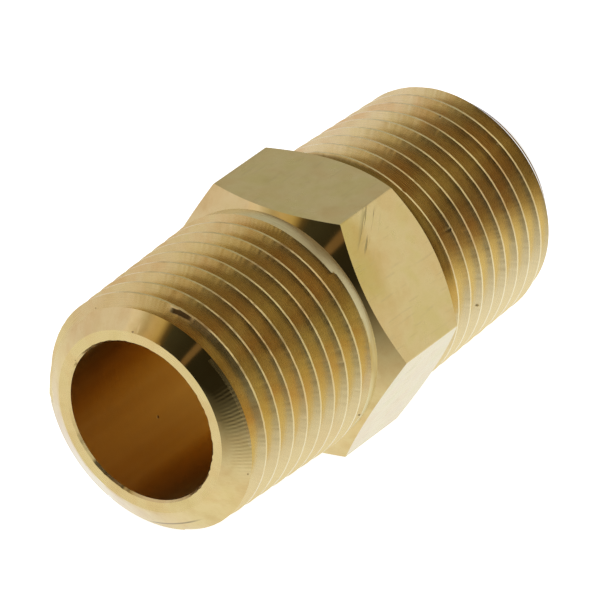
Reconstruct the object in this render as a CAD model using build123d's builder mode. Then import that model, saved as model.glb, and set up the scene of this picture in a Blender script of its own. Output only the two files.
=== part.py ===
from build123d import *
import os
from math import atan, cos, degrees, radians, sin, sqrt, tan

# Hex nipple, 1/2-14 NPT male both ends, turned from one piece of hexagon
# brass bar.  Millimetres.  The pipe axis is X, the fitting lies on one flat of
# its hexagon, +Z up, origin at the middle of the bore.  Front is the -X end
# and rear the +X end.

# ---------------------------------------------------------------- dimensions
LENGTH = 46.45           # over both end faces
BORE_D = 14.2            # through bore
RIM_CHAMFER = 0.20       # 45 degree break on the bore's mouth, both ends

HEX_AF = 22.0            # across flats
HEX_CORNER_FRONT = 3.80  # |x| where a corner edge ends, front
HEX_CORNER_REAR = 3.48   # the same, rear
CONE_FRONT = 29.5        # the turned cones that trim the hexagon's corners,
CONE_REAR = 38.5         # degrees off a plane square to the axis

TPI = 14.0               # threads per inch
PITCH = 25.4 / TPI
TAPER = 1.0 / 16.0       # on diameter
CREST_R_END = 10.358     # crest radius carried out to the end face's plane
THREAD_DEPTH = 0.8 * PITCH
CREST_FLAT = 0.18        # width of the crest's truncation
ROOT_FLAT = 0.13         # width of the root's truncation

END_RING_R = 8.2         # outside radius of the flat end face
CHAMFER_FRONT = 1.50     # axial length of the lead chamfer, front
CHAMFER_REAR = 2.87      # the same, rear

BAND_R = 10.62           # plain band between the front thread and the hexagon
BAND_OUT = 6.475         # |x| where the band's step meets the crest cone
BAND_STEP = 0.2          # axial length of the step down to the band
RELIEF_R = 9.42          # floor of the relief groove behind the hexagon
RELIEF_IN = 4.93         # |x| of the relief floor, hexagon side
RELIEF_OUT = 5.18        # |x| of the relief floor, thread side
RELIEF_LIP = 5.43        # |x| where the relief breaks the crest cone

# Where a crest sits, and how far round each groove is cut.  Angles turn from
# +Y towards +Z about +X; a right-hand helix gains PITCH in x per turn.
PHASE_ANGLE = 135.0
FRONT_CREST_X = -20.51   # a crest of the front thread at PHASE_ANGLE
REAR_CREST_X = 6.16      # a crest of the rear thread at PHASE_ANGLE
FRONT_START = 5.0        # the front groove has its full depth from here on
FRONT_RAMP = 32.0        # and deepens to it over this many degrees
FRONT_STOP = 262.0       # the front groove's last angle, short of the hexagon
REAR_STOP = -60.0        # the rear groove's last angle, just past the relief

# Allowances for the cutters and for shapes buried in other solids
LEAD_OUT = 1.6 * PITCH   # how far off the end face the rear groove starts
PROUD = 0.05             # the thread cutter's height above the crest
RAMP_BITE = 0.04         # the thread cutter's depth where the ramp begins
RAMP_STEPS = 8           # ruled spans in the ramp
HEX_BLANK_HALF = 8.0     # half the hexagon's length before its cones are cut
CONE_R_IN = 5.0          # the cones are drawn from this radius, in the barrel,
CONE_R_OUT = 14.0        # to this one, outside the hexagon's corners
BARREL_JOIN = 3.0        # |x| inside the hexagon where the barrels' profiles meet
RELIEF_CUT_R = HEX_AF / 2 + 0.4  # top of the relief's cutter
RELIEF_LEAN = 0.06       # the hexagon-side wall's lean from floor to top
RELIEF_CLEAR = 0.1       # the cutter's top beyond the lip, thread side
BORE_OVERRUN = 1.0       # the bore's cutter beyond each end face

# ---------------------------------------------------------------- derived
HALF = LENGTH / 2
CORNER_R = HEX_AF / sqrt(3)
SLOPE = TAPER / 2                           # radius lost per millimetre of |x|
TAPER_DEG = round(degrees(atan(SLOPE)), 4)  # crest cone to axis
ROOT_HALF = ROOT_FLAT / 2
TOP_HALF = (PITCH - CREST_FLAT) / 2         # half the groove's width at the crest
FLANK = (TOP_HALF - ROOT_HALF) / THREAD_DEPTH

# x of a groove's middle at angle 0: half a pitch from the crest, carried back
FRONT_MID = FRONT_CREST_X + PITCH / 2 - PITCH * PHASE_ANGLE / 360
REAR_MID = REAR_CREST_X - PITCH / 2 - PITCH * PHASE_ANGLE / 360

# The front groove starts on the lead chamfer, a turn before FRONT_MID, and
# ends in its ninth turn.
FRONT_START_X = FRONT_MID + PITCH * (FRONT_START / 360 - 1)
FRONT_STOP_X = FRONT_MID + PITCH * 7 + PITCH * FRONT_STOP / 360
REAR_STOP_X = REAR_MID + PITCH * REAR_STOP / 360


def crest_r(ax):
    """Crest cone's radius at |x| = ax."""
    return CREST_R_END + SLOPE * (HALF - ax)


def cone_ax(radius, corner_ax, cone):
    """|x| of a hexagon cone at a radius."""
    return corner_ax + (CORNER_R - radius) * tan(radians(cone))


# ---------------------------------------------------------------- the threads
def v_corners(crest, lift=0):
    """The groove cutter's section as (radius, axial) points, its root raised by lift."""
    return (
        (crest - THREAD_DEPTH + lift, -ROOT_HALF),
        (crest - THREAD_DEPTH + lift, ROOT_HALF),
        (crest + PROUD, TOP_HALF + FLANK * PROUD),
        (crest + PROUD, -TOP_HALF - FLANK * PROUD),
    )


def groove_turn(ax, rise):
    """Up to one turn of V groove, wound about local +Z.

    Its middle starts in the local XZ plane, sized by the crest radius at
    |x| = ax, and advances by rise.  +Z points from the end face inwards.
    Four helices are the V's corners; the walls are ruled between them and
    the ends are flat, in a plane through the axis, so turns join exactly.
    """
    edges = []
    for radius, z in v_corners(crest_r(ax)):
        with BuildLine() as corner:
            Helix(
                pitch=PITCH / cos(radians(TAPER_DEG)),
                height=rise,
                radius=radius,
                center=(0, 0, z),
                cone_angle=TAPER_DEG,
            )
        edges.append(corner.edge())
    walls = [Face.make_surface_from_curves(edges[i], edges[(i + 1) % 4]) for i in range(4)]
    ends = [Face(Wire.make_polygon([edge @ k for edge in edges], close=True)) for k in (0, 1)]
    return Solid(Shell(walls + ends)).fix()


def groove_ramp(ax, sweep):
    """The groove's shallow start, deepening to a full V at |x| = ax.

    Same axes as groove_turn.  It is wound back sweep degrees from the local
    XZ plane; its sections lie in planes through the axis, the full V last.
    """
    with BuildPart() as ramp:
        for i in range(RAMP_STEPS + 1):
            done = i / RAMP_STEPS
            a = radians(sweep * (done - 1))
            lift = (THREAD_DEPTH + PROUD - RAMP_BITE) * (1 - done)
            z = PITCH * sweep / 360 * (done - 1)
            across = Plane(
                origin=(0, 0, z), x_dir=(cos(a), sin(a), 0), z_dir=(sin(a), -cos(a), 0)
            )
            with BuildSketch(across):
                with BuildLine():
                    Polyline(*v_corners(crest_r(ax - z), lift), close=True)
                make_face()
        loft(ruled=True)
    return ramp.part.solid()


def groove_place(side, ax, mid_x):
    """Where a turn starting at |x| = ax goes: +Z inwards, +X at the helix's angle."""
    a = radians((side * ax - mid_x) / PITCH * 360)
    return Plane(
        origin=(side * ax, 0, 0), x_dir=(0, cos(a), sin(a)), z_dir=(-side, 0, 0)
    ).location


def groove(side, mid_x, stop_x, start_x=None):
    """A whole thread groove as its turns, each with the place it goes.

    side is -1 for the front end and +1 for the rear, mid_x the groove's
    middle at angle 0, and stop_x the x where the middle stops.  It starts
    off the end face, or with a ramp where start_x is given.
    """
    turns = []
    if start_x is None:
        ax = HALF + LEAD_OUT
    else:
        ax = abs(start_x)
        turns.append((groove_place(side, ax, mid_x), groove_ramp(ax, FRONT_RAMP)))
    stop = abs(stop_x)
    while ax - stop > 1e-6:
        rise = min(PITCH, ax - stop)
        turns.append((groove_place(side, ax, mid_x), groove_turn(ax, rise)))
        ax -= rise
    return turns


thread_turns = groove(-1, FRONT_MID, FRONT_STOP_X, FRONT_START_X)
thread_turns += groove(1, REAR_MID, REAR_STOP_X)

# ---------------------------------------------------------------- the hexagon
with BuildPart() as hexagon:
    with BuildSketch(Plane.YZ.offset(-HEX_BLANK_HALF)):
        RegularPolygon(radius=HEX_AF / 2, side_count=6, major_radius=False)
    extrude(amount=2 * HEX_BLANK_HALF)
    # a lathe cone at each side leaves the curved edges on the flats
    with BuildSketch(Plane.XZ):
        with BuildLine():
            Polyline(
                (-cone_ax(CONE_R_IN, HEX_CORNER_FRONT, CONE_FRONT), CONE_R_IN),
                (-cone_ax(CONE_R_OUT, HEX_CORNER_FRONT, CONE_FRONT), CONE_R_OUT),
                (cone_ax(CONE_R_OUT, HEX_CORNER_REAR, CONE_REAR), CONE_R_OUT),
                (cone_ax(CONE_R_IN, HEX_CORNER_REAR, CONE_REAR), CONE_R_IN),
                close=True,
            )
        make_face()
    revolve(axis=Axis.X, mode=Mode.INTERSECT)

# ---------------------------------------------------------------- the fitting
with BuildPart() as nipple_body:
    # both barrels, with their lead chamfers, the band and the relief
    with BuildSketch(Plane.XZ):
        with BuildLine():
            Polyline(
                (-HALF, 0),
                (-HALF, END_RING_R),
                (-HALF + CHAMFER_FRONT, crest_r(HALF - CHAMFER_FRONT)),
                (-BAND_OUT, crest_r(BAND_OUT)),
                (-BAND_OUT + BAND_STEP, BAND_R),
                (-BARREL_JOIN, BAND_R),
                (BARREL_JOIN, RELIEF_R),
                (RELIEF_OUT, RELIEF_R),
                (RELIEF_LIP, crest_r(RELIEF_LIP)),
                (HALF - CHAMFER_REAR, crest_r(HALF - CHAMFER_REAR)),
                (HALF, END_RING_R),
                (HALF, 0),
                close=True,
            )
        make_face()
    revolve(axis=Axis.X)
    add(hexagon.part)
    # the relief's wall on the hexagon's rear cone
    with BuildSketch(Plane.XZ):
        with BuildLine():
            Polyline(
                (RELIEF_IN - RELIEF_LEAN, RELIEF_CUT_R),
                (RELIEF_IN, RELIEF_R),
                (RELIEF_OUT, RELIEF_R),
                (RELIEF_LIP + RELIEF_CLEAR, RELIEF_CUT_R),
                close=True,
            )
        make_face()
    revolve(axis=Axis.X, mode=Mode.SUBTRACT)
    # the threads, a turn at a time
    for place, turn in thread_turns:
        with Locations(place):
            add(turn, mode=Mode.SUBTRACT)
    # the bore, broken at both mouths
    with BuildSketch(Plane.XZ):
        with BuildLine():
            Polyline(
                (-HALF - BORE_OVERRUN, 0),
                (-HALF - BORE_OVERRUN, BORE_D / 2 + RIM_CHAMFER + BORE_OVERRUN),
                (-HALF + RIM_CHAMFER, BORE_D / 2),
                (HALF - RIM_CHAMFER, BORE_D / 2),
                (HALF + BORE_OVERRUN, BORE_D / 2 + RIM_CHAMFER + BORE_OVERRUN),
                (HALF + BORE_OVERRUN, 0),
                close=True,
            )
        make_face()
    revolve(axis=Axis.X, mode=Mode.SUBTRACT)

nipple_body.part.label = "nipple_body"

os.makedirs("parts", exist_ok=True)
export_step(nipple_body.part, "parts/nipple_body.step")
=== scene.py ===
"""A brass hexagon nipple: a bored tube, threaded at both ends, with a hexagon between.

Its axis lies along X, with the front end at -X, and it rests on one flat of the hexagon.
Angles are measured round the axis from +Y toward +Z, and the hexagon's corners are at
multiples of 60 degrees.  The shape is worked out in mm, the scene is in metres.
"""
import math
from functools import reduce
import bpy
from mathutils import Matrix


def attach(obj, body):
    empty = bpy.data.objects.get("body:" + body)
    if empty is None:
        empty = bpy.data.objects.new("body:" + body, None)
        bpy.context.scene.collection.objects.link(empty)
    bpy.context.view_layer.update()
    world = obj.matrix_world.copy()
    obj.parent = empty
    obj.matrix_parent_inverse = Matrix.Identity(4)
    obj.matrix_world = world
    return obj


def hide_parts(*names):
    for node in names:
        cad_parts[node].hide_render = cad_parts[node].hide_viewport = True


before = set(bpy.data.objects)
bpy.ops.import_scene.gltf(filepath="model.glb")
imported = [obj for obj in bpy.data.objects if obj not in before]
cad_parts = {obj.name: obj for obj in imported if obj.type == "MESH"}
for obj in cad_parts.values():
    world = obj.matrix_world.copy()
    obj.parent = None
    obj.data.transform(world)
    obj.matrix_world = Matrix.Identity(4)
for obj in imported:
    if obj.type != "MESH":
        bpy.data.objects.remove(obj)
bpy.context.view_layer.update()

from types import SimpleNamespace

import bmesh
import bpy
import numpy as np
from mathutils import Matrix, Vector

# ------------------------------------------------------------------ sizes, mm
MM = 0.001
HALF = 23.225                       # half the length
BORE_R = 7.10
RIM = 0.20                          # bevel at the bore's mouths
END_R = 8.2                         # outer radius of the end faces
BEVEL = 0.04                        # bevel round the end faces
FRONT_CHAMFER, REAR_CHAMFER = 1.50, 2.87    # lengths along X

# Hexagon: the corners end at these distances from x = 0, on cones of these slopes
HEX_AF = 22.0                       # across the flats
CORNER_R = HEX_AF / math.sqrt(3)
FRONT_CORNER, REAR_CORNER = 3.80, 3.48
FRONT_SLOPE, REAR_SLOPE = math.tan(math.radians(29.5)), math.tan(math.radians(38.5))

# Plain band in front of the hexagon
BAND_R = 10.62
BAND_OUT = 6.475                    # distance of its near edge from x = 0
BAND_EDGE = 0.2                     # length of the slope up to it
CONE_X = -(FRONT_CORNER + (CORNER_R - BAND_R) * FRONT_SLOPE)    # band meets front cone

# Relief behind the hexagon: radius, its two ends, and where its wall meets the thread
RELIEF_R, RELIEF_IN, RELIEF_OUT, RELIEF_LIP = 9.42, 4.93, 5.18, 5.43
WALL_X = RELIEF_IN - 0.055          # outer edge of the wall behind the hexagon

# Thread: 14 to the inch, on a cone that widens toward the hexagon
PITCH = 25.4 / 14
CREST_END = 10.358                  # crest radius at the ends
TAPER = 32                          # length per mm of radius
DEPTH = 0.8 * PITCH
ROOT_HALF = 0.065                   # half the width of the groove's floor
TOP_HALF = (PITCH - 0.18) / 2       # half the width of its mouth
FLANK = DEPTH / (TOP_HALF - ROOT_HALF)
HALF_PROFILE = [ROOT_HALF, TOP_HALF * 0.36, TOP_HALF * 0.69, TOP_HALF]
PROFILE = [-offset for offset in reversed(HALF_PROFILE)] + HALF_PROFILE

# Groove middle at turn 0, worked back from a crest at 135 degrees
FRONT_GROOVE_X = -20.51 + PITCH / 2 - PITCH * 135 / 360
REAR_GROOVE_X = 6.16 - PITCH / 2 - PITCH * 135 / 360
# Where the groove begins and stops, in turns
FRONT_START = -1 + 5 / 360
FRONT_STOP = 7 + 262 / 360
REAR_STOP = -60 / 360

HEX_ROWS = 14
BORE_ROWS = 12

THREAD, FLAT, CONE, BORE, END, BAND = range(6)      # values of the zone attribute


def linear_step(value, lo, hi):
    return np.clip((np.asarray(value, float) - lo) / (hi - lo), 0, 1)


def smooth_step(value, lo, hi):
    t = linear_step(value, lo, hi)
    return t * t * (3 - 2 * t)


def lerp(start, end, t):
    return start + (end - start) * t


def smooth_noise(key_count, seed):
    """A seeded smooth function of a real number, value noise on the integers."""
    keys = np.random.default_rng(seed).uniform(-1, 1, key_count)

    def value(t):
        t = np.asarray(t, float)
        i = np.floor(t).astype(int)
        w = t - i
        w = w * w * (3 - 2 * w)
        return (1 - w) * keys[i % key_count] + w * keys[(i + 1) % key_count]

    return value


# ---------------------------------------------------------------- columns
CORNER_GAP = 0.22                   # degrees from a corner to the columns beside it
FINE_STEP, COARSE_STEP = 0.52, 1.3  # degrees
FINE_FROM, FINE_TO = 72, 216        # the finely divided part, degrees
LEAST_GAP = 0.2


def column_angles():
    """Angles of the mesh columns, in degrees; each corner is bevelled by two of them."""
    angles = []
    for corner in range(0, 360, 60):
        end = corner + 60 - CORNER_GAP
        angle = corner + CORNER_GAP
        while angle < end - 1e-6:
            angles.append(angle)
            angle += FINE_STEP if FINE_FROM < angle < FINE_TO else COARSE_STEP
        angles.append(end)
    kept = [angles[0]]
    for angle in angles[1:]:
        if angle - kept[-1] > LEAST_GAP:
            kept.append(angle)
        elif abs((angle + CORNER_GAP) % 60) < 1e-6:
            kept[-1] = angle
    return np.array(kept)


ANGLES = column_angles()
COLUMNS = len(ANGLES)
RADIANS = np.radians(ANGLES)


# ---------------------------------------------------------------- mesh store
verts, faces, face_uvs, face_zones = [], [], [], []


def add_vert(x, radius, column):
    verts.append((x, radius * math.cos(RADIANS[column]), radius * math.sin(RADIANS[column])))
    return len(verts) - 1


def ring(x, radius):
    """A ring of vertices; x and radius are numbers or one value per column."""
    x = np.broadcast_to(np.asarray(x, float), (COLUMNS,))
    radius = np.broadcast_to(np.asarray(radius, float), (COLUMNS,))
    return np.array([add_vert(x[j], radius[j], j) for j in range(COLUMNS)])


def add_face(ids, uvs, zone):
    """Store a face, merging repeated corners and leaving out one with no area."""
    corners, corner_uvs = [], []
    for i, uv in zip(ids, uvs):
        if not corners or i != corners[-1]:
            corners.append(int(i))
            corner_uvs.append(uv)
    if len(corners) > 1 and corners[0] == corners[-1]:
        corners.pop()
        corner_uvs.pop()
    if len(set(corners)) >= 3:
        faces.append(tuple(corners))
        face_uvs.append(corner_uvs)
        face_zones.append(zone)


# UV layout, in mm: the outside is one sheet, the bore and the two end faces sit beside it
SHEET_W = 68.0
BORE_W, BORE_H = 23.0, 23.0
UV_GAP = 1.0
UV_MARGIN = UV_GAP / 2
BESIDE = SHEET_W + UV_GAP + UV_MARGIN
TOTAL = SHEET_W + UV_GAP + BORE_W + UV_GAP
DISC_IN = 11.0                      # middle of the end faces, in from BESIDE
REAR_DISC_V, FRONT_DISC_V = 36.0, 56.0
V_PER_X = 1.8                       # sheet height per mm along a thread
# Heights on the sheet from the hexagon's first ring
FLAT_V, FLAT_H, WALL_V, HEX_H = 3.4, 8.0, 12.6, 14.5
HEX_V = (CONE_X + HALF) * V_PER_X
REAR_V = HEX_V + HEX_H


# Each of these gives the UV of an angle, at one height on the sheet or bore or one radius
def on_sheet(v):
    return lambda angle: ((UV_MARGIN + angle / 360 * SHEET_W) / TOTAL, (UV_MARGIN + v) / TOTAL)


def on_bore(v):
    return lambda angle: (
        (BESIDE + angle / 360 * (BORE_W - UV_GAP)) / TOTAL, (UV_MARGIN + v) / TOTAL)


def on_disc(radius, middle_v):
    return lambda angle: (
        (BESIDE + DISC_IN + radius * math.cos(math.radians(angle))) / TOTAL,
        (middle_v + radius * math.sin(math.radians(angle))) / TOTAL)


def span(column):
    """The next column and the two angles of the gap to it."""
    if column == COLUMNS - 1:
        return 0, ANGLES[column], ANGLES[0] + 360
    return column + 1, ANGLES[column], ANGLES[column + 1]


def strip(first, second, first_uv, second_uv, zone):
    """Faces between two rings; the first comes first along the outward profile."""
    for j in range(COLUMNS):
        j2, start, end = span(j)
        add_face(
            (first[j], first[j2], second[j2], second[j]),
            (first_uv(start), first_uv(end), second_uv(end), second_uv(start)), zone)


def sweep(current, current_uv, stations):
    """Strips from a ring through stations of x, radius, UV function and zone."""
    for x, radius, uv, zone in stations:
        following = ring(x, radius)
        strip(current, following, current_uv, uv, zone)
        current, current_uv = following, uv
    return current


# ---------------------------------------------------------------- threads
def crest_radius(x):
    return CREST_END + (HALF - np.abs(x)) / TAPER


# The turned blank before the groove is cut: x, radius
FRONT_BLANK = [
    (-40, END_R),
    (-HALF, END_R),
    (-HALF + FRONT_CHAMFER, crest_radius(HALF - FRONT_CHAMFER)),
    (-BAND_OUT, crest_radius(BAND_OUT)),
    (-BAND_OUT + BAND_EDGE, BAND_R),
    (0, BAND_R),
]
REAR_BLANK = [
    (0, RELIEF_R),
    (RELIEF_OUT, RELIEF_R),
    (RELIEF_LIP, crest_radius(RELIEF_LIP)),
    (HALF - REAR_CHAMFER, crest_radius(HALF - REAR_CHAMFER)),
    (HALF, END_R),
    (40, END_R),
]


def radius_at(outline, x):
    return np.interp(x, *zip(*outline))


def band_set_back(angle):
    """How far the band's near edge is set back at an angle, mm."""
    return 0.36 * smooth_step(angle, 131.0, 134.0) * (1 - smooth_step(angle, 205, 245))


def set_back_share(x):
    """The share of the set-back taken at x: none near the front end, all at the band."""
    return smooth_step(x, -12.0, -8.5)


def groove_rows(groove_x, x_lo, x_hi, stop_turn, fade, is_front, seed):
    """x and radius of the groove's rows, eight to a turn, one value per column.

    fade is the arc in degrees over which the groove runs out.
    """
    fine, middling, coarse = (
        smooth_noise(count, seed + i) for i, count in enumerate((4096, 1024, 512)))
    last_row = len(PROFILE) - 1
    first_turn = math.floor((x_lo - groove_x - TOP_HALF) / PITCH) - 2
    end_turn = math.ceil((x_hi - groove_x + TOP_HALF) / PITCH) + 2
    rows_x, rows_r = [], []
    for turn in range(first_turn, end_turn):
        turns = turn + ANGLES / 360
        arc = turns * 360
        past_stop = (turns - stop_turn if is_front else stop_turn - turns) * 360
        lift = linear_step(past_stop, -fade, 0) ** 1.3 * (DEPTH + 0.2)
        if is_front:
            lift = lift + linear_step((FRONT_START - turns) * 360, 0, 32) * (DEPTH + 0.25)
        curled = is_front and turn == -1
        for s, offset in enumerate(PROFILE):
            x = groove_x + PITCH * turns + offset
            depth = DEPTH - max(0.0, abs(offset) - ROOT_HALF) * FLANK
            radius = crest_radius(x) - depth + lift
            if s in (0, last_row):
                # tool chatter and torn metal along the crest's two edges
                edge = 0.012 * fine(arc / 1.1 + 31.7 * s) + 0.016 * middling(arc / 4.3 + 9.1 * s)
                burr = np.clip(middling(arc / 6.1 + 77 + s) - 0.35, 0, 1) * 0.035
                x = x + edge * (1 if s == 0 else -1) * 0.8
                radius = radius - 0.010 * (1 + fine(arc / 1.7 + 3.3 * s)) + burr
                if curled and s == last_row:
                    # a sliver curled forward and outward near the first crest's start
                    curl = smooth_step(ANGLES, 97, 101) * (1 - smooth_step(ANGLES, 110, 114))
                    x = x - curl * (0.07 + 0.03 * middling(ANGLES / 3.1 + 5))
                    radius = radius + curl * (0.05 + 0.03 * middling(ANGLES / 2.7 + 17))
                    least_x = groove_x + PITCH * turns + PROFILE[-2] + 0.03
                    x = np.where(curl > 0, np.maximum(x, least_x), x)
            else:
                # slight unevenness, and a hollow under the sliver
                radius = (radius + 0.0008 * fine(arc / 2.3 + 13.1 * s)
                          + 0.004 * coarse(arc / 22.0 + 5.7 * s))
                if curled and s == last_row - 1:
                    hollow = smooth_step(ANGLES, 98, 101) * (1 - smooth_step(ANGLES, 109, 113))
                    radius = radius - hollow * 0.09
            rows_x.append(x)
            rows_r.append(radius)
    return np.array(rows_x), np.array(rows_r)


def fit_to_blank(x, cut, outline, kinks, x_lo, x_hi, set_back):
    """Limit the cut to the blank, and move rows onto the lines where the two meet.

    x is changed in place.  Returns radius, blank radius, and which points are on a line.
    """
    blank = radius_at(outline, x - set_back[None, :] * set_back_share(x))
    radius = np.minimum(cut, blank)
    crease = np.zeros(x.shape, bool)
    above = cut - blank
    for j in range(COLUMNS):
        gap, old_x = above[:, j], x[:, j].copy()
        for i in np.nonzero((gap[:-1] < 0) != (gap[1:] < 0))[0]:
            if old_x[i] < x_lo - 0.6 or old_x[i + 1] > x_hi + 0.6:
                continue
            if abs(gap[i]) < 0.02 and abs(gap[i + 1]) < 0.02:
                continue
            share = gap[i] / (gap[i] - gap[i + 1])
            crossing = old_x[i] + share * (old_x[i + 1] - old_x[i])
            row = i if share < 0.5 else i + 1
            if not crease[row, j]:
                x[row, j] = crossing
                radius[row, j] = radius_at(
                    outline, crossing - set_back[j] * float(set_back_share(crossing)))
                crease[row, j] = True
        # bring the nearest row to each corner of the blank's outline
        for kink in kinks:
            kink_x = kink + (set_back[j] if abs(kink) < 8 else 0.0)
            distance = np.abs(x[:, j] - kink_x)
            row = int(distance.argmin())
            on_blank = cut[row, j] > blank[row, j] - 0.01
            if distance[row] < 0.14 and not crease[row, j] and on_blank:
                x[row, j] = kink_x
                radius[row, j] = radius_at(outline, kink)
    return radius, blank, crease


def thread_zone(x, radius, blank, angle):
    on_blank = radius > blank - 0.02
    if on_blank and abs(x) > HALF - (FRONT_CHAMFER if x < 0 else REAR_CHAMFER):
        return CONE
    if on_blank and -BAND_OUT + 0.15 + float(band_set_back(angle)) < x < 0:
        return BAND
    return THREAD


MARK_SPACING = 2.08                 # degrees between tool marks
waver = smooth_noise(300, 41)
skew_waver = smooth_noise(300, 43)


def chatter(x, radius, blank, angle):
    """Tool marks as a change of radius: on the front chamfer, and in the groove by the band."""
    if radius > blank - 0.02 and x < -HALF + FRONT_CHAMFER:
        weight = linear_step(angle, 141, 149) * linear_step(angle, 216, 206)
        weight *= linear_step(radius, 8.95, 9.2) * linear_step(radius, 10.3, 10.1)
        skew = 1.7 * (radius - 9.5) + 0.25 * float(skew_waver(angle / 7))
        wave = 0.5 + 0.5 * math.sin(2 * math.pi * (angle + skew) / MARK_SPACING)
        return -0.042 * weight * (0.7 + 0.3 * float(waver(angle / 5))) * wave ** 1.5
    if -7.4 < x < -5.9 and radius < blank - 0.15:
        weight = linear_step(angle, 76, 84) * linear_step(angle, 142, 130)
        phase = 360 * angle / MARK_SPACING + 40 * float(waver(angle / 4))
        return 0.006 * weight * math.sin(math.radians(phase))
    return 0.0


def thread_block(groove_x, x_lo, x_hi, ring_lo, ring_hi, outline, kinks, stop_turn, fade,
                 is_front, v_start, v_start_x, seed):
    """The helical sheet between two rings.

    Rows follow the helix, so the last column joins the first one a pitch further on.  The
    front groove stops at the block's high-x side, the rear one at its low-x side.
    """
    x, cut = groove_rows(groove_x, x_lo, x_hi, stop_turn, fade, is_front, seed)
    set_back = band_set_back(ANGLES) if is_front else np.zeros(COLUMNS)
    radius, blank, crease = fit_to_blank(x, cut, outline, kinks, x_lo, x_hi, set_back)
    row_count, per_turn = len(x), len(PROFILE)

    index = np.zeros(x.shape, int)
    for j in range(COLUMNS):
        for i in range(row_count):
            here = x[i, j]
            if here < x_lo + 0.03:
                index[i, j], x[i, j] = ring_lo[j], x_lo
            elif here > x_hi - 0.03:
                index[i, j], x[i, j] = ring_hi[j], x_hi
            else:
                marks = chatter(here, radius[i, j], blank[i, j], ANGLES[j])
                index[i, j] = add_vert(here, radius[i, j] + marks, j)

    for j in range(COLUMNS):
        j2, start, end = span(j)
        shift = 0 if j2 else per_turn
        for i in range(row_count - per_turn - 1):
            corners = [(i, j), (i + shift, j2), (i + 1 + shift, j2), (i + 1, j)]
            ids = [index[c] for c in corners]
            if ids[0] == ids[3] and ids[1] == ids[2]:
                continue
            uvs = [on_sheet(v_start + (x[c] - v_start_x) * V_PER_X)(angle)
                   for c, angle in zip(corners, (start, end, end, start))]
            zone = thread_zone(
                0.25 * sum(x[c] for c in corners),
                0.5 * (radius[i, j] + radius[i + 1, j]),
                0.5 * (blank[i, j] + blank[i + 1, j]), start)
            # split a face whose diagonal lies on a crease
            creased = tuple(bool(crease[c]) for c in corners)
            if creased == (True, False, True, False):
                parts = ((0, 1, 2), (0, 2, 3))
            elif creased == (False, True, False, True):
                parts = ((0, 1, 3), (1, 2, 3))
            else:
                parts = ((0, 1, 2, 3),)
            for part in parts:
                add_face([ids[n] for n in part], [uvs[n] for n in part], zone)


# ---------------------------------------------------------------- the body's parts
nick = smooth_noise(797, 61)
nick_slow = smooth_noise(797, 67)


def front_thread():
    """Returns the end face's outer ring and the ring where the front cone starts."""
    x_lo = -HALF + BEVEL * 0.8
    nicks = 0.022 * nick(ANGLES / 2.1) * np.clip(0.4 + nick_slow(ANGLES / 23), 0, 1)
    end_ring = ring(-HALF, END_R - BEVEL + nicks)
    chamfer_ring = ring(x_lo, END_R + BEVEL * 0.4)
    cone_ring = ring(CONE_X, BAND_R)
    thread_block(
        groove_x=FRONT_GROOVE_X, x_lo=x_lo, x_hi=CONE_X, ring_lo=chamfer_ring,
        ring_hi=cone_ring, outline=FRONT_BLANK,
        kinks=(-HALF + FRONT_CHAMFER, -BAND_OUT, -BAND_OUT + BAND_EDGE),
        stop_turn=FRONT_STOP, fade=9, is_front=True, v_start=0, v_start_x=-HALF, seed=101)
    strip(end_ring, chamfer_ring, on_sheet(-0.1), on_sheet(0.0), CONE)
    return end_ring, cone_ring


def hexagon(cone_ring):
    """Front cone, flats, rear cone and the wall down to the relief, whose ring it returns."""
    flat_r = (HEX_AF / 2) / np.cos(np.radians((ANGLES % 60) - 30))
    front_x = -(FRONT_CORNER + (CORNER_R - flat_r) * FRONT_SLOPE)
    rear_x = REAR_CORNER + (CORNER_R - flat_r) * REAR_SLOPE
    wall_r = CORNER_R - (WALL_X - REAR_CORNER) / REAR_SLOPE
    stations = [
        (lerp(CONE_X, front_x, t), lerp(BAND_R, flat_r, t), on_sheet(HEX_V + FLAT_V * t), CONE)
        for t in (0.35, 0.7, 1.0)]
    for row in range(1, HEX_ROWS + 1):
        t = row / HEX_ROWS
        uv = on_sheet(HEX_V + (FLAT_V + FLAT_H * t))
        stations.append((lerp(front_x, rear_x, t), flat_r, uv, FLAT))
    stations += [
        (WALL_X, wall_r, on_sheet(HEX_V + WALL_V), CONE),
        (RELIEF_IN, RELIEF_R, on_sheet(REAR_V), CONE),
    ]
    return sweep(cone_ring, on_sheet(HEX_V), stations)


def rear_thread(relief_ring):
    """Returns the outer ring of the rear end face."""
    x_hi = HALF - BEVEL * 0.8
    chamfer_ring = ring(x_hi, END_R + BEVEL * 0.4)
    end_ring = ring(HALF, END_R - BEVEL)
    thread_block(
        groove_x=REAR_GROOVE_X, x_lo=RELIEF_IN, x_hi=x_hi, ring_lo=relief_ring,
        ring_hi=chamfer_ring, outline=REAR_BLANK,
        kinks=(RELIEF_OUT, RELIEF_LIP, HALF - REAR_CHAMFER),
        stop_turn=REAR_STOP, fade=25, is_front=False, v_start=REAR_V,
        v_start_x=RELIEF_IN, seed=211)
    end_v = REAR_V + (HALF - RELIEF_IN) * V_PER_X
    strip(chamfer_ring, end_ring, on_sheet(end_v), on_sheet(end_v + 0.1), CONE)
    return end_ring


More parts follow.
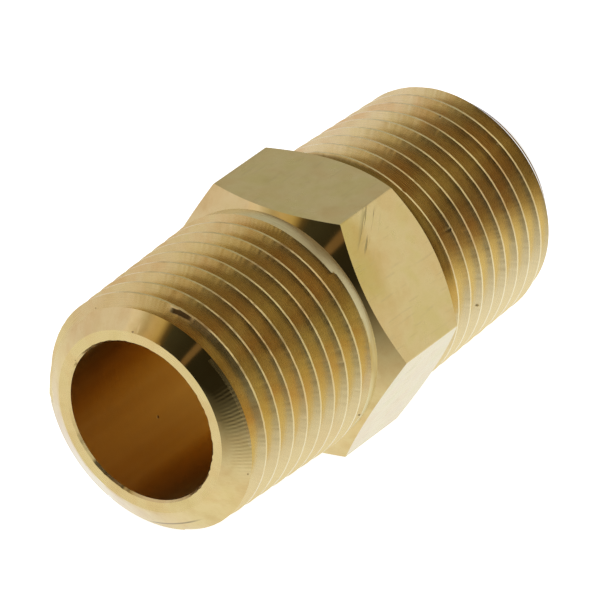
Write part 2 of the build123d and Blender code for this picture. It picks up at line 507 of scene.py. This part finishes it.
def ends_and_bore(front_ring, rear_ring):
    """Rear end face, rim, bore, front rim and front end face."""
    mouth_r = BORE_R + RIM
    rim_uv_r = BORE_R - 0.1
    bore_ring = sweep(rear_ring, on_disc(END_R, REAR_DISC_V), [
        (HALF, mouth_r, on_disc(mouth_r, REAR_DISC_V), END),
        (HALF - RIM, BORE_R, on_disc(rim_uv_r, REAR_DISC_V), END),
    ])
    bore_ring = sweep(bore_ring, on_bore(0), [
        ((HALF - RIM) * (1 - 2 * row / BORE_ROWS), BORE_R, on_bore(row / BORE_ROWS * BORE_H), BORE)
        for row in range(1, BORE_ROWS + 1)])
    nicks = 0.045 * nick_slow(ANGLES / 2.6) * np.clip(0.3 + nick(ANGLES / 31), 0, 1)
    mouth_uv = on_disc(mouth_r, FRONT_DISC_V)
    mouth_ring = sweep(bore_ring, on_disc(rim_uv_r, FRONT_DISC_V), [
        (-HALF, mouth_r - 0.03 + nicks, mouth_uv, END)])
    strip(mouth_ring, front_ring, mouth_uv, on_disc(END_R, FRONT_DISC_V), END)


SHARP_ANGLE = math.radians(24)


def mark_sharp_edges(mesh):
    """Shade smooth, except where two faces meet at more than the sharp angle."""
    work = bmesh.new()
    work.from_mesh(mesh)
    for edge in work.edges:
        if len(edge.link_faces) == 2:
            one, other = edge.link_faces
            edge.smooth = one.normal.angle(other.normal, 0) < SHARP_ANGLE
    for face in work.faces:
        face.smooth = True
    work.to_mesh(mesh)
    work.free()


def build_body():
    front_ring, cone_ring = front_thread()
    relief_ring = hexagon(cone_ring)
    rear_ring = rear_thread(relief_ring)
    ends_and_bore(front_ring, rear_ring)

    used = sorted({i for face in faces for i in face})
    new_index = {old: new for new, old in enumerate(used)}
    places = np.array([verts[i] for i in used]) * MM
    mesh = bpy.data.meshes.new("nipple_visual")
    mesh.from_pydata(places.tolist(), [], [tuple(new_index[i] for i in face) for face in faces])
    mesh.update()
    uv = mesh.uv_layers.new(name="OFBake")
    uv.data.foreach_set("uv", np.array([c for uvs in face_uvs for c in uvs], np.float32).ravel())
    zone = mesh.attributes.new("zone", "FLOAT", "FACE")
    zone.data.foreach_set("value", np.array(face_zones, np.float32))
    mark_sharp_edges(mesh)

    body = bpy.data.objects.new("nipple_brass", mesh)
    bpy.context.scene.collection.objects.link(body)
    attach(body, "root")
    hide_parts("nipple_body")
    return body


# ---------------------------------------------------------------- node helpers
tree = None     # the node tree the helpers add to


def open_tree(owner):
    """Empty an owner's node tree and point the helpers at it."""
    global tree
    owner.use_nodes = True
    tree = owner.node_tree
    tree.nodes.clear()


def node(kind, inputs=None, **settings):
    """A node; inputs maps its sockets to values or to other nodes' outputs."""
    made = tree.nodes.new(kind)
    for name, value in settings.items():
        setattr(made, name, value)
    for key, value in (inputs or {}).items():
        if isinstance(value, bpy.types.NodeSocket):
            tree.links.new(value, made.inputs[key])
        else:
            made.inputs[key].default_value = value
    return made


def calc(operation, *values, clamp=False):
    inputs = dict(enumerate(values))
    return node("ShaderNodeMath", inputs, operation=operation, use_clamp=clamp).outputs[0]


def mul(*values):
    return reduce(lambda product, value: calc("MULTIPLY", product, value), values)


def add(first, second, clamp=False):
    return calc("ADD", first, second, clamp=clamp)


def sub(first, second):
    return calc("SUBTRACT", first, second)


def invert(mask):
    return sub(1.0, mask)


def scaled(value, factor, offset):
    return calc("MULTIPLY_ADD", value, factor, offset)


def combine(x, y, z):
    return node("ShaderNodeCombineXYZ", {0: x, 1: y, 2: z}).outputs[0]


def dot(vector, direction):
    inputs = {0: vector, 1: direction}
    return node("ShaderNodeVectorMath", inputs, operation="DOT_PRODUCT").outputs["Value"]


def map_range(value, lo, hi, kind="LINEAR"):
    """0 at lo and 1 at hi; lo may be the larger."""
    inputs = {"Value": value, "From Min": lo, "From Max": hi}
    return node("ShaderNodeMapRange", inputs, interpolation_type=kind).outputs[0]


def step(value, lo, hi):
    return map_range(value, lo, hi, "SMOOTHSTEP")


def between(value, rise, fall):
    """The product of two steps, one of them given high end first."""
    return mul(step(value, *rise), step(value, *fall))


def window(value, rise, fall):
    """0 to 1 over the rise and back to 0 over the fall, both given low end first."""
    return mul(step(value, *rise), invert(step(value, *fall)))


def noise(vector, scale, detail, rough):
    inputs = {"Vector": vector, "Scale": scale, "Detail": detail, "Roughness": rough}
    return node("ShaderNodeTexNoise", inputs).outputs["Fac"]


def ramp(value, *stops):
    """A colour ramp; each stop is place, red, green, blue."""
    made = node("ShaderNodeValToRGB", {"Fac": value})
    elements = made.color_ramp.elements
    while len(elements) > 1:
        elements.remove(elements[-1])
    for i, (place, *colour) in enumerate(stops):
        element = elements.new(place) if i else elements[0]
        element.position = place
        element.color = (*colour, 1)
    return made.outputs["Color"]


def ramp_over(value, lo, hi, *stops):
    """A colour ramp whose places run from lo to hi."""
    stops = [((place - lo) / (hi - lo), *colour) for place, *colour in stops]
    return ramp(map_range(value, lo, hi), *stops)


def mix(factor, first, second, blend="MIX"):
    """Mix two colours, each a socket or red, green, blue."""
    first, second = ((*c, 1) if isinstance(c, tuple) else c for c in (first, second))
    inputs = {0: factor, 6: first, 7: second}
    return node("ShaderNodeMix", inputs, data_type="RGBA", blend_type=blend).outputs[2]


def tint(factor, base, colour):
    """The base multiplied by a colour, by a factor."""
    return mix(factor, base, mix(1.0, base, colour, "MULTIPLY"))


# ---------------------------------------------------------------- brass
def is_zone(zone, kind):
    return calc("COMPARE", zone, float(kind), 0.3)


def wrapped(on, along, girth):
    """A texture place that runs along the axis and round a circle of radius girth."""
    return combine(along, mul(on.cosine, girth), mul(on.sine, girth))


def surface_fields():
    """Places on the metal in mm, masks of the zones, and the shared noises."""
    on = SimpleNamespace()
    place = node("ShaderNodeTexCoord").outputs["Object"]
    inputs = {0: place, "Scale": 1000.0}
    on.mm = node("ShaderNodeVectorMath", inputs, operation="SCALE").outputs[0]
    on.x, on.y, on.z = node("ShaderNodeSeparateXYZ", {0: on.mm}).outputs
    on.angle = calc("ARCTAN2", on.z, on.y)      # radians, -pi to pi
    on.radius = calc("SQRT", add(mul(on.y, on.y), mul(on.z, on.z)))
    on.cosine = calc("DIVIDE", on.y, on.radius)
    on.sine = calc("DIVIDE", on.z, on.radius)

    zone = node("ShaderNodeAttribute", attribute_name="zone", attribute_type="GEOMETRY")
    on.zone = zone.outputs["Fac"]
    on.flat, on.bore, on.cone, on.band, on.end = (
        is_zone(on.zone, kind) for kind in (FLAT, BORE, CONE, BAND, END))

    # turning marks: rings round the axis, slightly uneven along the turn
    rings = wrapped(on, add(on.x, mul(on.radius, 0.7)), girth=0.35)
    on.ring_fine = noise(rings, scale=16.0, detail=3.0, rough=0.6)
    on.ring_mid = noise(rings, scale=4.5, detail=2.0, rough=0.5)
    # lines along the axis on the flats and in the bore
    flat_lines = combine(mul(on.x, 0.16), on.y, on.z)
    on.flat_fine = noise(flat_lines, scale=5.5, detail=3.0, rough=0.6)
    bore_lines = combine(mul(on.x, 0.02), on.y, on.z)
    on.bore_fine = noise(bore_lines, scale=0.9, detail=2.0, rough=0.5)
    on.mottle = noise(on.mm, scale=0.55, detail=4.0, rough=0.6)
    on.grain = noise(on.mm, scale=6.0, detail=3.0, rough=0.6)
    return on


def long_scratches(on, turn, scale, lo, hi, offset):
    """Long thin scratches in one direction, where a stretched noise passes lo to hi."""
    stretched = node("ShaderNodeMapping", {
        "Vector": on.mm, "Rotation": turn, "Scale": (0.10, 1.0, 1.0),
        "Location": (offset, offset * 0.7, offset * 1.3)}).outputs[0]
    return map_range(noise(stretched, scale=scale, detail=1.0, rough=0.4), lo, hi)


# Knocks and pin holes: x, y, z and radius, mm
KNOCKS = [
    ((9.817, -10.309, -1.847), 0.24), ((-5.904, -9.314, -4.947), 0.20),
    ((-21.974, -9.768, -2.298), 0.17), ((-14.653, 4.676, -5.342), 0.24),
    ((16.734, -2.033, 10.268), 0.17), ((18.697, -6.508, 8.14), 0.15),
    ((20.549, -8.843, 5.127), 0.16), ((-23.176, 0.38, 8.235), 0.16),
    ((-21.389, 5.413, 8.0), 0.14), ((-23.225, 6.348, 3.744), 0.12),
]


def add_wear(on):
    """Masks of the scratches, the painted shade by the torn sliver, and the pitting, which takes
    in that shade.
    """
    on.long_scratches = calc(
        "MAXIMUM",
        long_scratches(on, turn=(0.3, 0.5, 0.6), scale=2.6, lo=0.66, hi=0.72, offset=3.1),
        long_scratches(on, turn=(1.1, -0.4, -0.5), scale=3.1, lo=0.67, hi=0.73, offset=8.4))

    # a patch of scratches on the flat that faces -Y and up
    on.side = step(dot(on.mm, (0, -0.866, 0.5)), lo=10.9, hi=10.96)
    across = dot(on.mm, (0.69, -0.36, -0.623))
    along = dot(on.mm, (-0.72, -0.345, -0.598))
    lines = combine(mul(across, 1.0), mul(along, 0.09), 0.0)
    lines = step(noise(lines, scale=2.3, detail=2.0, rough=0.55), lo=0.555, hi=0.63)
    patch = mul(
        step(calc("ABSOLUTE", add(across, 4.05)), lo=1.25, hi=0.55),
        step(calc("ABSOLUTE", add(along, 2.35)), lo=2.5, hi=1.4), on.side, on.flat)
    on.scratches = mul(lines, patch)

    # painted shade under the torn sliver where the first crest starts: a thin dark line, leaning
    # round the axis
    lean = mul(sub(on.angle, 1.78), -0.60)
    distance = calc("ABSOLUTE", add(add(on.x, 20.94), lean))
    distance = add(distance, mul(on.grain, 0.03))
    on.gap = mul(
        step(distance, lo=0.095, hi=0.055),
        between(on.angle, rise=(1.74, 1.79), fall=(1.97, 1.91)), invert(on.bore))

    # the painted shade under the sliver is taken in with the knock marks, so it is also darkened,
    # roughened and sunk
    knocks_and_sliver_shade = on.gap
    for place, size in KNOCKS:
        inputs = {0: on.mm, 1: place}
        distance = node("ShaderNodeVectorMath", inputs, operation="DISTANCE").outputs["Value"]
        knock = step(add(distance, mul(on.grain, 0.30)), lo=0.72 * size + 0.15,
                     hi=0.15 * size + 0.15)
        knocks_and_sliver_shade = calc("MAXIMUM", knocks_and_sliver_shade, knock)
    cells = node("ShaderNodeTexVoronoi", {"Vector": on.mm, "Scale": 0.30, "Randomness": 1.0},
                 feature="F1")
    specks = map_range(cells.outputs["Distance"], lo=0.032, hi=0.018)
    specks = mul(specks, add(on.flat, on.end, clamp=True))
    on.pits = calc("MAXIMUM", specks, knocks_and_sliver_shade)


def metal_colour(on):
    """The brass itself, with broad tints, a colour for each zone, and a painted reflection in the
    bore.
    """
    base = ramp(
        on.mottle,
        (0.30, 0.700, 0.540, 0.222), (0.45, 0.735, 0.575, 0.245),
        (0.60, 0.755, 0.595, 0.262), (0.75, 0.725, 0.585, 0.238))
    base = tint(0.22, base, ramp(
        noise(on.mm, scale=0.33, detail=3.0, rough=0.6),
        (0.40, 0.92, 0.76, 0.62), (0.52, 1, 1, 1), (0.64, 0.95, 0.98, 0.84)))
    base = tint(mul(on.flat, 0.55), base, ramp(
        noise(on.mm, scale=0.30, detail=4.0, rough=0.62),
        (0.36, 0.98, 0.93, 0.86), (0.50, 1, 1, 1), (0.62, 0.93, 0.95, 0.78)))
    # warm tarnish in patches on the threads
    patches = wrapped(on, mul(on.x, 0.40), girth=3.2)
    base = tint(is_zone(on.zone, THREAD), base, ramp(
        noise(patches, scale=0.8, detail=3.0, rough=0.6),
        (0.36, 0.96, 0.86, 0.78), (0.50, 1, 1, 1), (0.66, 1.0, 1.0, 0.94)))
    # painted reflection: the bore in a deeper orange, streaked along its length, standing in for
    # light bouncing inside it
    bore_reflection_streaks = wrapped(on, mul(on.x, 0.03), girth=7.1)
    base = mix(on.bore, base, ramp(
        noise(bore_reflection_streaks, scale=0.34, detail=2.0, rough=0.5),
        (0.36, 0.70, 0.455, 0.130), (0.50, 0.775, 0.530, 0.168), (0.62, 0.84, 0.615, 0.225)))
    base = mix(on.band, base, ramp(
        on.ring_fine, (0.35, 0.75, 0.65, 0.33), (0.62, 0.90, 0.80, 0.44)))
    # dirt on the cones, less of it on the end faces
    dirt = wrapped(on, mul(on.x, 1.2), girth=8.0)
    return tint(mul(add(on.cone, mul(on.end, 0.4)), 0.32), base, ramp(
        noise(dirt, scale=0.75, detail=4.0, rough=0.65),
        (0.40, 0.86, 0.76, 0.66), (0.54, 1, 1, 1)))


def add_handling(on, base):
    """The scratched flat: greener toward its front edge."""
    uneven = mul(noise(on.mm, scale=0.5, detail=3.0, rough=0.6), 2.4)
    handled = mul(
        on.side, on.flat, step(add(mul(on.x, -1.0), uneven), lo=2.2, hi=4.4),
        invert(step(dot(on.mm, (0, -0.5, -0.866)), lo=-1.5, hi=2.5)))
    base = tint(handled, base, (0.86, 0.83, 0.60))
    return mix(mul(on.scratches, 0.75), base, (0.33, 0.27, 0.10))


def paint_thread_light_and_shade(on, base):
    """Painted highlights low on both threads, painted light and shade on the rear one, painted
    shade in the relief.
    """
    # painted highlight: the low parts of the rear thread, then of the front one, made lighter
    # where they mirror the bright table
    low_painted_highlight = mul(step(on.x, lo=5.0, hi=7.0), step(on.z, lo=5.0, hi=0.5), is_zone(on.zone, THREAD))
    base = mix(low_painted_highlight, base, (0.86, 0.71, 0.37))
    low_painted_highlight = mul(step(on.x, lo=-5.0, hi=-7.0), step(on.z, lo=2.8, hi=-1.0),
                is_zone(on.zone, THREAD), 0.75)
    base = mix(low_painted_highlight, base, (0.84, 0.69, 0.35))

    rear = mul(step(on.x, lo=5.0, hi=7.0), is_zone(on.zone, THREAD))
    # painted highlight: the upper side of the rear thread made lighter and bluer, as if it
    # mirrored the soft box
    painted_upper_highlight = mul(rear, between(on.angle, fall=(0.2, 0.7), rise=(2.05, 1.60)))
    base = tint(painted_upper_highlight, base, (1.10, 1.15, 1.36))
    # painted shade along the rear thread's flanks on the side toward -Y
    painted_flank_shade = mul(rear, between(on.angle, rise=(2.22, 2.56), fall=(3.02, 2.62)))
    base = tint(painted_flank_shade, base, (0.88, 0.84, 0.86))

    # x less the helix's advance of 0.2888 mm a radian, so the painted shade in the relief behind
    # the hexagon ends at the first crest
    helix_x = sub(on.x, mul(sub(on.angle, 2.356), 0.2888))
    relief_shade = mul(step(helix_x, lo=6.08, hi=5.94), step(on.x, lo=4.82, hi=4.96),
                step(on.angle, lo=3.05, hi=2.80), is_zone(on.zone, THREAD))
    return tint(relief_shade, base, (0.50, 0.50, 0.50))


def add_painted_shadow_reflection(on, base):
    """A fine dark line, curved like a parabola, low on the front chamfer: a painted reflection of
    the part's shadow on the floor.
    """
    t = mul(add(on.angle, 2.077), 2.2)
    distance = sub(on.x, add(mul(t, t, 0.36), -22.38))
    mirrored_shadow = mul(
        step(calc("ABSOLUTE", distance), lo=0.085, hi=0.025),
        between(on.angle, rise=(-2.20, -2.00), fall=(-1.50, -1.62)), on.cone)
    return mix(mul(mirrored_shadow, 0.70), base, (0.20, 0.15, 0.06))


def brass_colour(on):
    base = metal_colour(on)
    base = add_handling(on, base)
    base = paint_thread_light_and_shade(on, base)
    base = add_painted_shadow_reflection(on, base)
    # mask, its strength, and the colour it brings
    for mask, strength, colour in (
        # the first two masks carry painted shade under the torn sliver; the second also holds real
        # pitting and knock marks
        (on.gap, 0.9, (0.05, 0.03, 0.012)),
        (on.pits, 0.72, (0.16, 0.095, 0.03)),
        (mul(on.long_scratches, on.flat), 0.22, (0.55, 0.44, 0.2)),
    ):
        base = mix(mul(mask, strength), base, colour)
    return base


def brass_roughness(on):
    rough = scaled(on.ring_fine, factor=0.10, offset=0.22)
    for mask, zone_rough in (
        (on.flat, scaled(on.mottle, factor=0.16, offset=0.17)),
        (on.cone, scaled(on.ring_fine, factor=0.05, offset=0.045)),
        (on.band, scaled(on.ring_fine, factor=0.16, offset=0.36)),
        (on.bore, scaled(on.bore_fine, factor=0.10, offset=0.31)),
    ):
        inputs = {0: mask, 2: rough, 3: zone_rough}
        rough = node("ShaderNodeMix", inputs, data_type="FLOAT").outputs[0]
    return add(rough, mul(on.pits, 0.3), clamp=True)


def brass_height(on):
    """Height of the fine relief, in mm."""
    rings = add(mul(on.ring_fine, 0.0035), mul(on.ring_mid, 0.0030))
    rings = mul(rings, sub(invert(on.flat), mul(on.cone, 0.75)))
    flats = add(mul(on.flat_fine, 0.0030), mul(on.grain, 0.0022))
    cuts = mul(calc("MAXIMUM", mul(on.long_scratches, 0.5), on.scratches), -0.006)
    flats = mul(add(flats, cuts), on.flat)
    bore = mul(on.bore_fine, 0.006, on.bore)
    return add(add(rings, flats), add(bore, mul(on.pits, -0.03)))


def brass_material():
    material = bpy.data.materials.new("brass_machined")
    open_tree(material)
    on = surface_fields()
    add_wear(on)
    bump = node("ShaderNodeBump", {
        "Strength": 1.0, "Distance": MM, "Height": brass_height(on)})
    shader = node("ShaderNodeBsdfPrincipled", {
        "Metallic": 1.0, "Base Color": brass_colour(on),
        "Roughness": brass_roughness(on), "Normal": bump.outputs[0]})
    node("ShaderNodeOutputMaterial", {"Surface": shader.outputs[0]})
    return material


# ---------------------------------------------------------------- floor
FLOOR_Z = -HEX_AF / 2 * MM
FLOOR_R = 3.0
FLOOR_SEGMENTS = 96


def build_floor():
    """A pale disc under the lowest flat."""
    mesh = bpy.data.meshes.new("floor")
    turns = [2 * math.pi * i / FLOOR_SEGMENTS for i in range(FLOOR_SEGMENTS)]
    points = [(0.0, 0.0, FLOOR_Z)]
    points += [(FLOOR_R * math.cos(a), FLOOR_R * math.sin(a), FLOOR_Z) for a in turns]
    mesh.from_pydata(
        points, [], [(0, 1 + i, 1 + (i + 1) % FLOOR_SEGMENTS) for i in range(FLOOR_SEGMENTS)])
    floor = bpy.data.objects.new("floor", mesh)
    bpy.context.scene.collection.objects.link(floor)
    material = bpy.data.materials.new("floor_pale")
    material.use_nodes = True
    shader = material.node_tree.nodes["Principled BSDF"]
    for name, value in {
        "Base Color": (0.55, 0.55, 0.55, 1), "Roughness": 0.9, "Specular IOR Level": 0.0,
        "Emission Color": (1.0, 1.0, 1.0, 1), "Emission Strength": 0.93,
    }.items():
        shader.inputs[name].default_value = value
    mesh.materials.append(material)
    floor.visible_glossy = False    # the metal mirrors the table top in the world instead


# ---------------------------------------------------------------- studio
def build_world():
    """The room the metal mirrors; the camera sees plain white."""
    world = bpy.data.worlds.new("studio")
    bpy.context.scene.world = world
    open_tree(world)
    view = node("ShaderNodeTexCoord").outputs["Generated"]
    x, y, z = node("ShaderNodeSeparateXYZ", {0: view}).outputs
    # degrees; azimuth is measured from -X, growing from the +Y side to the -Y side
    azimuth = mul(calc("ARCTAN2", mul(y, -1.0), mul(x, -1.0)), 180 / math.pi)
    height = mul(calc("ARCSINE", z), 180 / math.pi)

    def facing(*direction):
        length = math.hypot(*direction)
        return dot(view, tuple(c / length for c in direction))

    # a white room with a dim ceiling
    colour = mix(step(height, lo=42, hi=54), (0.89, 0.89, 0.95), (0.25, 0.205, 0.19))
    # the dim side of the room, toward -Y
    dim = mul(window(azimuth, rise=(62, 78), fall=(108, 122)),
              window(height, rise=(-6, 6), fall=(50, 70)))
    colour = mix(dim, colour, (0.25, 0.23, 0.22))
    dim = mul(window(azimuth, rise=(62, 78), fall=(130, 140)),
              window(height, rise=(12, 24), fall=(50, 70)))
    colour = mix(dim, colour, (0.25, 0.21, 0.19))
    # the grey wall the top flat mirrors
    colour = mix(step(facing(0.69, 0.51, 0.50), lo=0.84, hi=0.94), colour, (0.50, 0.51, 0.52))
    # the long soft box on the +Y side
    box = mul(step(facing(-0.42, 0.90, 0.10), lo=0.40, hi=0.74),
              invert(step(height, lo=46, hi=64)))
    colour = mix(box, colour, (0.83, 0.80, 0.96))
    # the table top, brightest behind the part
    colour = mix(step(mul(height, -1.0), lo=4, hi=22), colour, (0.97, 0.98, 1.06))
    bright = step(facing(0.70, 0.177, -0.692), lo=0.80, hi=0.95)
    colour = mix(bright, colour, (1.08, 1.16, 1.34))

    # the stand in front: its shade on the table, by height
    shade = ramp_over(
        height, -70, 10,
        (-69, 1.0, 1.0, 1.06), (-43, 0.87, 0.88, 1.0), (-29, 0.56, 0.55, 0.55),
        (-15, 0.27, 0.26, 0.24), (-5, 0.10, 0.095, 0.08), (8, 0.028, 0.024, 0.018))
    front = mul(window(azimuth, rise=(-16, 0), fall=(38, 52)),
                invert(step(height, lo=14, hi=20)))
    colour = mix(mul(front, step(height, lo=-69, hi=-60)), colour, shade)
    # its warm edge and dark body, by azimuth
    stand = ramp_over(
        azimuth, -45, 15,
        (-44, 0.90, 0.85, 0.95), (-39, 0.85, 0.81, 0.89), (-35, 0.68, 0.64, 0.60),
        (-31.5, 0.54, 0.47, 0.37), (-27, 0.63, 0.50, 0.34), (-21, 0.56, 0.44, 0.23),
        (-18.8, 0.38, 0.28, 0.13), (-16.2, 0.11, 0.075, 0.035), (-13, 0.050, 0.046, 0.032),
        (-2, 0.032, 0.028, 0.018), (10, 0.024, 0.021, 0.014))
    upright = mul(step(height, lo=0, hi=8), invert(step(height, lo=52, hi=68)))
    upright = mul(window(azimuth, rise=(-45, -43), fall=(37, 47)), upright)
    colour = mix(upright, colour, stand)
    # one thin warm edge crossing the dark body, leaning
    lean = add(azimuth, scaled(height, factor=-0.6, offset=9.8))
    edge = mul(window(lean, rise=(-3.0, -1.5), fall=(1.5, 3.0)),
               window(height, rise=(8, 13), fall=(44, 56)))
    colour = mix(edge, colour, (0.200, 0.128, 0.070))

    seen = node("ShaderNodeLightPath").outputs["Is Camera Ray"]
    colour = mix(seen, colour, (1.0, 1.0, 1.0))
    background = node("ShaderNodeBackground", {"Color": colour, "Strength": 1.0})
    node("ShaderNodeOutputWorld", {"Surface": background.outputs[0]})


def build_light():
    """An overhead soft box that fills the floor."""
    light = bpy.data.lights.new("overhead", "AREA")
    light.shape = "DISK"
    light.size = 1.6
    light.energy = 9.0
    light.color = (1.0, 0.995, 0.985)
    lamp = bpy.data.objects.new("overhead", light)
    lamp.location = (0.15, 0.1, 1.3)
    lamp.visible_glossy = False
    bpy.context.scene.collection.objects.link(lamp)


def build_camera():
    """A long lens looking down at the front end from the -Y side."""
    lens = bpy.data.cameras.new("view")
    lens.sensor_width = 36.0
    lens.lens = 488.6
    lens.clip_start, lens.clip_end = 0.01, 50
    camera = bpy.data.objects.new("view", lens)
    bpy.context.scene.collection.objects.link(camera)
    right = Vector((0.57907, -0.81496, -0.02271)).normalized()
    back = Vector((-0.69978, -0.51114, 0.49904)).normalized()
    up = back.cross(right).normalized()
    right = up.cross(back).normalized()
    pose = Matrix((right, up, back)).transposed().to_4x4()
    pose.translation = Vector((-0.470778, -0.343204, 0.335642))
    camera.matrix_world = pose
    bpy.context.scene.camera = camera
    bpy.context.scene.view_settings.view_transform = "Standard"


body = build_body()
body.data.materials.append(brass_material())
build_floor()
build_world()
build_light()
build_camera()
